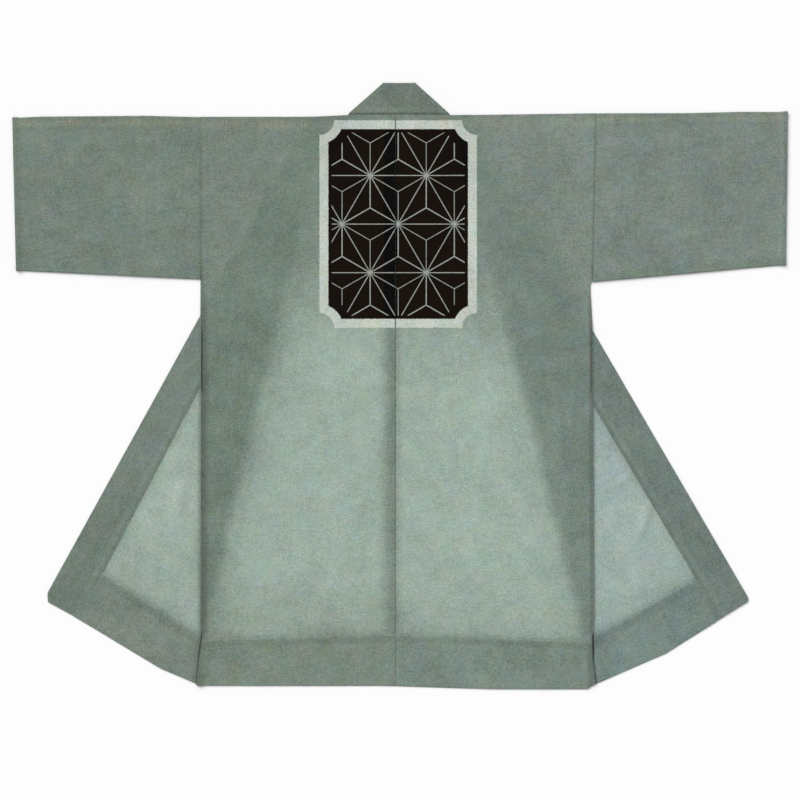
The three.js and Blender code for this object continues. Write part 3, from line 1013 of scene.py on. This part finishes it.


# %% [markdown]
# ## How dark the cloth looks
#
# The cloth is sheer, so one layer on the white surface is light and each layer more makes it darker. Real
# see-through shells would need their light worked out through seven thin walls, and a viewer that can't
# do that would show them wrong. Here the tone is painted instead, from the same lines that the layers
# follow: the fold, the strip, the hems and the seam allowance. The edge of a layer that lies under
# others shows through softly, and a layer's own edge is crisp. A few soft round patches, paler or darker,
# are painted on the cloth; two of them are painted light and shade on creases beneath.

# %% Tones, as they look under the lamp
one_layer = (0.340, 0.432, 0.371)
upper_back = (0.205, 0.250, 0.214)
lower_back = {"left": (0.292, 0.362, 0.303), "right": (0.318, 0.402, 0.345)}
three_layers = {"left": (0.167, 0.220, 0.178), "right": (0.173, 0.224, 0.192)}
two_layers = {"left": (0.193, 0.238, 0.202), "right": (0.207, 0.253, 0.221)}
hem_tones = {"left": (0.197, 0.249, 0.205), "right": (0.196, 0.255, 0.216)}
hem_corner_tone = (0.180, 0.221, 0.181)
turned_under = {"left": (0.176, 0.222, 0.177), "right": (0.178, 0.228, 0.192)}
allowance_tone = (0.195, 0.248, 0.208)
seam_shadow = (0.150, 0.188, 0.155)
side_shadow = {"left": (0.108, 0.125, 0.110), "right": (0.128, 0.152, 0.134)}
folded_tones = {"left": (0.334, 0.420, 0.360), "right": (0.342, 0.432, 0.395)}
folded_top_tones = {"left": (0.322, 0.404, 0.354), "right": (0.318, 0.400, 0.385)}
folded_hem_tones = {"left": (0.205, 0.249, 0.209), "right": (0.187, 0.250, 0.229)}
folded_turned_under = {"left": (0.174, 0.216, 0.177), "right": (0.165, 0.218, 0.201)}
sleeve_tones = {"left": (0.183, 0.231, 0.194), "right": (0.198, 0.243, 0.214)}
top_fold_tones = {"left": (0.222, 0.258, 0.198), "right": (0.234, 0.268, 0.218)}
bottom_seam_tone = (0.167, 0.217, 0.180)
strip_tones = {"left": (0.179, 0.225, 0.192), "right": (0.163, 0.210, 0.187)}
strip_low_tone = (0.166, 0.210, 0.177)
strip_seam_tone = (0.192, 0.243, 0.212)
beside_seam_tone = (0.220, 0.268, 0.225)
beside_strip_tone = (0.220, 0.270, 0.235)
shoulder_tone = (0.238, 0.272, 0.213)
cuff_tone = (0.150, 0.187, 0.160)
# painted shade in the gaps along the back's side edge, with the darker folded seam allowance there
gap_shade_tone = (0.020, 0.026, 0.024)
strip_gap_shade_tone = (0.040, 0.050, 0.045)
hem_gap_shade_tone = (0.120, 0.145, 0.130)
cast_shadow = (0.130, 0.160, 0.140)
peeking_tone = (0.165, 0.190, 0.175)
back_patches = [  # middle and radius in millimetres, tone
    ((24, -46), 62, (0.280, 0.348, 0.298)),
]
# The pale patch at 398, -217 and the dark one at -445, -298 are painted light and shade on creases
folded_patches = [
    ((-360, -191), 66, (0.420, 0.500, 0.440)), ((-445, -298), 66, (0.270, 0.335, 0.290)),
    ((-368, -114), 36, (0.420, 0.500, 0.450)), ((398, -217), 66, (0.410, 0.505, 0.460)),
]
folded_hem_patches = [
    ((-450, -360), 36, (0.125, 0.155, 0.130)), ((324, -416), 34, (0.110, 0.138, 0.128)),
]
collar_tone = (0.166, 0.203, 0.171)
# painted highlight on the collar in a band above the neck seam
collar_highlight_tone = (0.205, 0.250, 0.208)
collar_end_tone = (0.215, 0.255, 0.215)
neck_seam_tone = (0.100, 0.122, 0.100)
rim_tones = (0.490, 0.535, 0.475), (0.540, 0.590, 0.530)  # the panel's, on several layers and on one
dye_tones = (0.0006, 0.0006, 0.0004), (0.0062, 0.0026, 0.0006)
dye_seam_tone = (0.002, 0.002, 0.002)
# painted shade in the twist, and painted light on the raised fibres
thread_shade_and_light_tones = (0.150, 0.188, 0.158), (0.240, 0.292, 0.248)  # in the twist, and on it

# %% [markdown]
# ## The printed panel on the back
#
# A hanten often carries a large dyed design on its back. This one has a plain panel with scooped corners,
# near black with a wide pale edge, and fine pale lines of the hemp leaf pattern, which is centuries old.
# The pattern is a net of triangles, each with three lines from its middle to its corners. Its lines are
# found from how far a place is from each side of its triangle.

# %% Panel of hemp leaves
panel_middle = plan([-3.0, 265.5])
panel_half = plan([129.0, 170.0])
panel_scoop = 24 * mm
panel_rim = 14.5 * mm
leaf_side = 92 * mm
leaf_line = 1.4 * mm


def panel(finish):
    """Masks of the whole panel, of its dark field and of the pale lines on the field."""
    wobble = (finish.noise(finish.where.outputs["Object"], 300.0) - 0.5) * (1.6 * mm)
    right = finish.x - float(panel_middle[X])
    up = finish.y - float(panel_middle[Y])
    dx = abs(right) - float(panel_half[X])
    dy = abs(up) - float(panel_half[Y])
    from_corner = (dx * dx + dy * dy).root()
    outside = dx.most(dy).most(panel_scoop - from_corner) + wobble
    whole = 1 - finish.smooth(outside, -0.6 * mm, 0.6 * mm)
    field = 1 - finish.smooth(outside, -panel_rim - 0.6 * mm, -panel_rim + 0.6 * mm)
    height = leaf_side * math.sqrt(3) / 2
    shares = []
    for turn in range(3):
        angle = math.radians(90 + 120 * turn)
        shares.append(((right * math.cos(angle) + up * math.sin(angle)) / height + 0.001).part())
    points_down = finish.smooth(shares[0] + shares[1] + shares[2], 1.49, 1.51)
    parts = [share + points_down * (1 - share * 2) for share in shares]
    least = parts[0].least(parts[1]).least(parts[2])
    most = parts[0].most(parts[1]).most(parts[2])
    middle = 1 - least - most
    to_side = least * height
    to_spoke = (middle - least) * (height / math.sqrt(3))
    nearest = to_side.least(to_spoke) + wobble * 0.3
    line = 1 - finish.smooth(nearest, leaf_line / 2 - 0.3 * mm, leaf_line / 2 + 0.3 * mm)
    inner = 1 - finish.smooth(outside, -panel_rim - 6 * mm, -panel_rim - 5 * mm)
    inner = inner * finish.smooth(from_corner, panel_scoop + 28 * mm, panel_scoop + 29 * mm)
    return whole, field, line * inner


print("panel", (panel_half * 2 / mm).round(), "mm with leaves of", round(leaf_side / mm), "mm")

# %% Tone of each half of the body: its layers


def patched(finish, tone, patches, side):
    """Soft round patches of another tone, those of one side of the coat."""
    for (x, y), radius, patch_tone in patches:
        if x * side > 0:
            dx, dy = finish.x - x * mm, finish.y - y * mm
            near = 1 - finish.smooth((dx * dx + dy * dy).root(), 0.0, radius * mm)
            tone = finish.blend(tone, patch_tone, near * 0.5)
    return tone


def layer_tone(finish, name):
    """One layer inside the fold, three outside it and two beyond the strip; and where it is one layer."""
    half, side = halves[name], halves[name]["side"]
    offs = [finish.across(a, b) * float(side) for a, b in zip(half["fold"][1:-1], half["fold"][2:])]
    wander = finish.noise(finish.where.outputs["Object"], 11.0, 1.0) - 0.5
    from_fold = offs[0].least(offs[1]) + wander * ((20 if side < 0 else 10) * mm)
    if side < 0:
        from_fold = from_fold - finish.between(finish.y, 8 * mm, 54 * mm, 14 * mm) * (10 * mm)
        inside = (finish.smooth(from_fold, -26 * mm, 9 * mm) * 0.70
                  + finish.smooth(from_fold, -4 * mm, 76 * mm) * 0.30)
    else:
        from_fold = from_fold - finish.smooth(finish.y, -100 * mm, -320 * mm) * (7 * mm)
        from_fold = from_fold - finish.between(finish.y, -220 * mm, -92 * mm, 42 * mm) * (7 * mm)
        inside = (finish.smooth(from_fold, -21 * mm, 9 * mm) * 0.72
                  + finish.smooth(from_fold, -80 * mm, -10 * mm) * 0.10
                  + finish.smooth(from_fold, 0.0, 60 * mm) * 0.18)
    upper = finish.smooth(finish.y, (20 if side < 0 else -30) * mm, (300 if side < 0 else 270) * mm)
    single = finish.blend(one_layer, upper_back, upper)
    single = finish.blend(single, lower_back[name], finish.smooth(finish.y, -280 * mm, -400 * mm))
    from_strip = finish.across(*half["edge"]) * float(side)
    past_strip = 1 - (finish.smooth(from_strip, -9 * mm, 9 * mm) * 0.45
                      + finish.smooth(from_strip, -34 * mm, 26 * mm) * 0.55)
    several = finish.blend(three_layers[name], two_layers[name], past_strip)
    return finish.blend(several, single, inside), inside


# %% Tone of each half of the body: its seams and hems


def back_tone(finish, name):
    """The back as seen from above, with its hem, centre seam and panel; and the mask of the panel."""
    half, side = halves[name], halves[name]["side"]
    tone, inside = layer_tone(finish, name)
    tone = patched(finish, tone, back_patches, side)

    # To the right of the centre seam it is dusky towards the hem
    left_of = float(centre_seam) - finish.x
    if side > 0:
        low = finish.smooth(finish.y, -325 * mm, -385 * mm)
        near = (1 - finish.smooth(left_of * -1.0, 0.0, 105 * mm)) * low
        tone = finish.blend(tone, beside_seam_tone, near * 0.5)

    # The hem darkens softly from above, with a darker line where its raw edge is turned under
    off = finish.across(*half["hem_top"])
    hem = finish.smooth(off, -9 * mm, 6 * mm) * 0.7 + finish.smooth(off, -30 * mm, 2 * mm) * 0.3
    hem_tone = finish.blend(hem_corner_tone, hem_tones[name], inside)
    tone = finish.blend(tone, hem_tone, hem)
    tone = finish.blend(tone, turned_under[name], finish.between(off, 3 * mm, 13 * mm, 2.5 * mm) * 0.9)

    # The allowance of the centre seam lies to its left
    above_hem = 1 - finish.smooth(off, -6 * mm, 6 * mm)
    if side < 0:
        on_allowance = 1 - finish.smooth(left_of, 4 * mm, 33 * mm)
        tone = finish.blend(tone, allowance_tone, on_allowance * (above_hem * 0.85 + 0.15))
        near = (1 - finish.smooth(left_of, 0.5 * mm, 4 * mm)) * 0.2
    else:
        near = (1 - finish.smooth(left_of * -1.0, 1 * mm, 15 * mm)) * 0.36
    tone = finish.blend(tone, seam_shadow, near * (above_hem * 0.8 + 0.2))
    seam_line = 1 - finish.smooth(abs(left_of), 0.4 * mm, 2.0 * mm)
    tone = finish.blend(tone, seam_shadow, seam_line * (above_hem * 0.30 + 0.15))

    # The panel is dyed into the cloth, blacker where more layers lie under it
    whole, field, line = panel(finish)
    pale = finish.blend(*rim_tones, inside)
    over_allowance = 1 - finish.smooth(abs(left_of - 8 * mm), 9 * mm, 13 * mm)
    dark = finish.blend(*dye_tones, inside * (1 - over_allowance))
    faint = finish.blend(pale, dark, 0.35)
    dyed = finish.blend(finish.blend(pale, dark, field), faint, line)
    dyed = finish.blend(dyed, dye_seam_tone, seam_line * 0.6)
    return finish.blend(tone, dyed, whole), whole


def folded_tone(finish, name):
    """The folded-out front beside the side seam: one layer, then its hem."""
    half, layer, side = halves[name], layers[name], halves[name]["side"]
    high = finish.smooth(finish.y, -240 * mm, -90 * mm)
    tone = finish.blend(folded_tones[name], folded_top_tones[name], high)
    from_strip = finish.across(half["seam"][1], half["seam"][2]) * float(side)
    tone = finish.blend(tone, beside_strip_tone, (1 - finish.smooth(from_strip, 0.0, 15 * mm)) * 0.35)
    tone = patched(finish, tone, folded_patches, side)
    off = finish.across(*layer.folded_hem_top) * float(side)
    hem = (finish.smooth(off, -9 * mm, 7 * mm) * 0.74 + finish.smooth(off, -24 * mm, 2 * mm) * 0.14
           + finish.smooth(off, -70 * mm, -5 * mm) * 0.12)
    near_strip = (1 - finish.smooth(from_strip, -30 * mm, 60 * mm)) * 0.75
    tone = finish.blend(tone, finish.blend(folded_hem_tones[name], strip_low_tone, near_strip), hem)
    raw_edge = finish.between(off, 5 * mm, 18 * mm, 2.5 * mm) * 0.85
    tone = finish.blend(tone, folded_turned_under[name], raw_edge)
    return patched(finish, tone, folded_hem_patches, side)


def past_line(finish, line, side):
    """How far a place is outside a side line, in metres, following each of its bends below the middle."""
    knee = int(np.argmax(line[:, Y] < -370 * mm))
    inwards = finish.across(line[knee - 1], line[knee])
    for i in range(knee, len(line) - 2):
        below = finish.smooth(finish.y, float(line[i, Y]) + 0.5 * mm, float(line[i, Y]) - 0.5 * mm)
        inwards = inwards + below * (finish.across(line[i], line[i + 1]) - inwards)
    return inwards * float(-side)


def body_tone(finish, name):
    """The whole tone of one half, by plan."""
    half, side = halves[name], halves[name]["side"]
    tone, on_panel = back_tone(finish, name)
    out = past_line(finish, half["back_side"], side)
    into = out * -1.0
    below_armpit = finish.smooth(finish.y, 178 * mm, 120 * mm)
    on_strip = finish.between(finish.y, -8 * mm, 96 * mm, 14 * mm)
    in_hem = finish.smooth(finish.y, -400 * mm, -412 * mm)
    wide = (4 * mm, 17 * mm) if side < 0 else (3.6 * mm, 7.5 * mm)
    shadow = (1 - finish.smooth(into, *wide)) * below_armpit * (0.8 - in_hem * (0.35 if side < 0 else 0.66))
    tone = finish.blend(tone, side_shadow[name], shadow)
    lower = finish.smooth(finish.y, -436 * mm, -456 * mm)
    # A thin line of painted shade just inside the back's side edge, where it lies over the strip and the hem
    if side < 0:
        thin = finish.between(into, 0.3 * mm, 3.4 * mm, 0.8 * mm)
        on_steps = (on_strip + in_hem * (1 - lower * 0.45)).least(1.0)
        tone = finish.blend(tone, gap_shade_tone, thin * on_steps * 0.66)
    else:
        thin = finish.between(into, 0.3 * mm, 3.0 * mm, 0.8 * mm)
        tone = finish.blend(tone, strip_gap_shade_tone, thin * on_strip * 0.62)
        tone = finish.blend(tone, hem_gap_shade_tone, thin * in_hem * 0.55)

    # Outside the side seam the folded front shows
    folded = folded_tone(finish, name)
    folded = finish.blend(folded, cast_shadow, (1 - finish.smooth(out, 0.0, 8 * mm)) * 0.5)
    if side < 0:
        wide_shade = (1 - finish.smooth(out, 0.0, 24 * mm)) * finish.smooth(finish.y, -170 * mm, -260 * mm)
        folded = finish.blend(folded, cast_shadow, wide_shade * 0.14)
    else:
        past_front = past_line(finish, half["front_side"], side)
        peeking = in_hem * (1 - finish.smooth(past_front, -1.0 * mm, 0.0))
        folded = finish.blend(folded, peeking_tone, peeking * 0.7)
        # Painted shade in the crack outside the peeking strip of the front
        crack = finish.between(past_front, -2.2 * mm, 1.4 * mm, 0.8 * mm) * in_hem
        folded = finish.blend(folded, gap_shade_tone, crack * (0.78 - lower * 0.32))
    low_enough = finish.smooth(finish.y, armpit, armpit - 4 * mm)
    tone = finish.blend(tone, folded, finish.smooth(out, -0.4 * mm, 0.4 * mm) * low_enough)

    # Armhole seam and shoulder fold
    armhole = finish.across(half["back_side"][0], half["back_side"][1]) * float(side)
    seam_line = 1 - finish.smooth(abs(armhole - (2.0 if side < 0 else 0.6) * mm), 0.7 * mm, 3.0 * mm)
    near_armpit = finish.between(finish.y, armpit, armpit + 25 * mm, 5 * mm)
    tone = finish.blend(tone, seam_shadow, seam_line * (1 - below_armpit) * 0.66)
    tone = finish.blend(tone, side_shadow[name], seam_line * near_armpit * 0.55)
    top = half["back_top"]
    from_top = abs(finish.across(*top[:2]) if side < 0 else finish.across(*top[2:]))
    band = finish.between(from_top, 4 * mm, 20 * mm, 4 * mm)
    return finish.blend(tone, shoulder_tone, band * 0.6 * (1 - on_panel) * (1 - below_armpit))


for name, made in bodies.items():
    finish = Finish(f"body cloth {name}")
    made.data.materials.clear()
    made.data.materials.append(woven(finish, body_tone(finish, name)))
    print(made.name, "has", len(finish.nodes), "nodes")

# %% Tone of the sleeves and the collar


def sleeve_tone(finish, name):
    """Two layers of cloth all over, lighter along the top fold and darker along the seams and the cuff."""
    plan_of = sleeves[name]
    top, bottom, side = plan_of["top"], plan_of["bottom"], plan_of["side"]
    from_top = abs(finish.across(top[0], top[-1]))
    from_bottom = abs(finish.across(bottom[0], bottom[-1]))
    along_fold = finish.between(from_top, 2 * mm, 13 * mm, 4 * mm)
    tone = finish.blend(sleeve_tones[name], top_fold_tones[name], along_fold * 0.9)
    tone = finish.blend(tone, seam_shadow, finish.between(from_top, 17 * mm, 20 * mm, 2 * mm) * 0.25)
    tone = finish.blend(tone, bottom_seam_tone, 1 - finish.smooth(from_bottom, 6 * mm, 20 * mm))
    armhole = abs(finish.across(top[0], bottom[0]))
    at_seam = 1 - finish.smooth(armhole, 0.5 * mm, 2.2 * mm)
    near_armpit = finish.between(finish.y, armpit, armpit + 25 * mm, 5 * mm)
    tone = finish.blend(tone, seam_shadow, at_seam * ((0.15 if side < 0 else 0.5) + near_armpit * 0.35))
    cuff_line = abs(finish.across(top[-1], bottom[-1]))
    return finish.blend(tone, cuff_tone, (1 - finish.smooth(cuff_line, 4 * mm, 8 * mm)) * 0.45)


def collar_shade(finish):
    """Dark behind the neck, where the strip lies on itself, and a little lighter down the fronts."""
    x, y = finish.x, finish.y
    on_right = finish.smooth(x, -50 * mm, 50 * mm)
    low = finish.smooth(y, -60 * mm, -330 * mm)
    left = finish.blend(strip_tones["left"], strip_low_tone, low)
    strips = finish.blend(left, strip_tones["right"], on_right)
    off = {}
    for name, half in halves.items():
        off[name] = finish.across(half["seam"][1], half["seam"][2]) * float(-half["side"])
    from_seam = off["left"] + on_right * (off["right"] - off["left"])
    seam_band = finish.between(from_seam, 6.5 * mm, 13.5 * mm, 2 * mm)
    strips = finish.blend(strips, strip_seam_tone, seam_band * 0.8)
    at_seam = 1 - finish.smooth(abs(from_seam - 3 * mm), 1.5 * mm, 4 * mm)
    strips = finish.blend(strips, seam_shadow, at_seam * 0.25)
    behind_neck = finish.smooth(y, 441 * mm, 444 * mm)
    tone = finish.blend(strips, collar_tone, behind_neck)
    rise = y - float(neck_seam)
    # A painted highlight on a band above the neck seam, where the cloth rises out of the seam's dip
    seam_band = (finish.between(rise, 3.5 * mm, 11 * mm, 2.5 * mm)
               * finish.between(x, -58 * mm, 30 * mm, 8 * mm))
    tone = finish.blend(tone, collar_highlight_tone, seam_band * 0.7)
    at_seam = 1 - finish.smooth(abs(rise - 0.4 * mm), 0.7 * mm, 3.2 * mm)
    tone = finish.blend(tone, neck_seam_tone, at_seam * 0.72)
    left_end, right_end = (((half["collar_base"], neck_seam), (half["collar_corner"], collar_top))
                           for half in halves.values())
    from_end = finish.across(*left_end).least(finish.across(*right_end[::-1]))
    at_end = finish.between(from_end, 1.5 * mm, 4.5 * mm, 1.2 * mm)
    return finish.blend(tone, collar_end_tone, at_end * behind_neck * 0.4)


for name, made in arms.items():
    finish = Finish(f"sleeve cloth {name}")
    made.data.materials.clear()
    made.data.materials.append(woven(finish, sleeve_tone(finish, name)))
    print(made.name, "has", len(finish.nodes), "nodes")
finish = Finish("collar cloth")
neckband.data.materials.clear()
neckband.data.materials.append(woven(finish, collar_shade(finish)))
print(neckband.name, "has", len(finish.nodes), "nodes")

# %% [markdown]
# ## Thread and paper
#
# The thread is dyed with the cloth. It is too thin to need more than its twist: fine noise that bumps and
# roughens the fibres, with painted light on the raised ones and painted shade in the twist. The floor is
# plain pale paper, so nothing on it draws the eye.

# %% Thread and paper
finish = Finish("sewing thread")
twist = finish.noise(finish.where.outputs["Object"], 2500.0) - 0.5
thread_tone = finish.blend(*thread_shade_and_light_tones, twist + 0.5)
thread_bump = finish.node("ShaderNodeBump", inputs={"Strength": 0.4, "Distance": 0.1 * mm, "Height": twist})
thread_surface = finish.node("ShaderNodeBsdfPrincipled", inputs={
    "Base Color": thread_tone, "Roughness": 0.7, "Normal": thread_bump.outputs[0],
    "Specular IOR Level": 0.25})
finish.node("ShaderNodeOutputMaterial", inputs={0: thread_surface.outputs[0]})
for made in sewing.values():
    made.data.materials.clear()
    made.data.materials.append(finish.material)

surface = Finish("pale paper")
paper = surface.node("ShaderNodeBsdfPrincipled", inputs={
    "Base Color": (0.93, 0.93, 0.93, 1), "Roughness": 0.9, "Specular IOR Level": 0.1})
surface.node("ShaderNodeOutputMaterial", inputs={0: paper.outputs[0]})
floor.data.materials.append(surface.material)
print(len(sewing), "pieces of stitches share the thread's material")
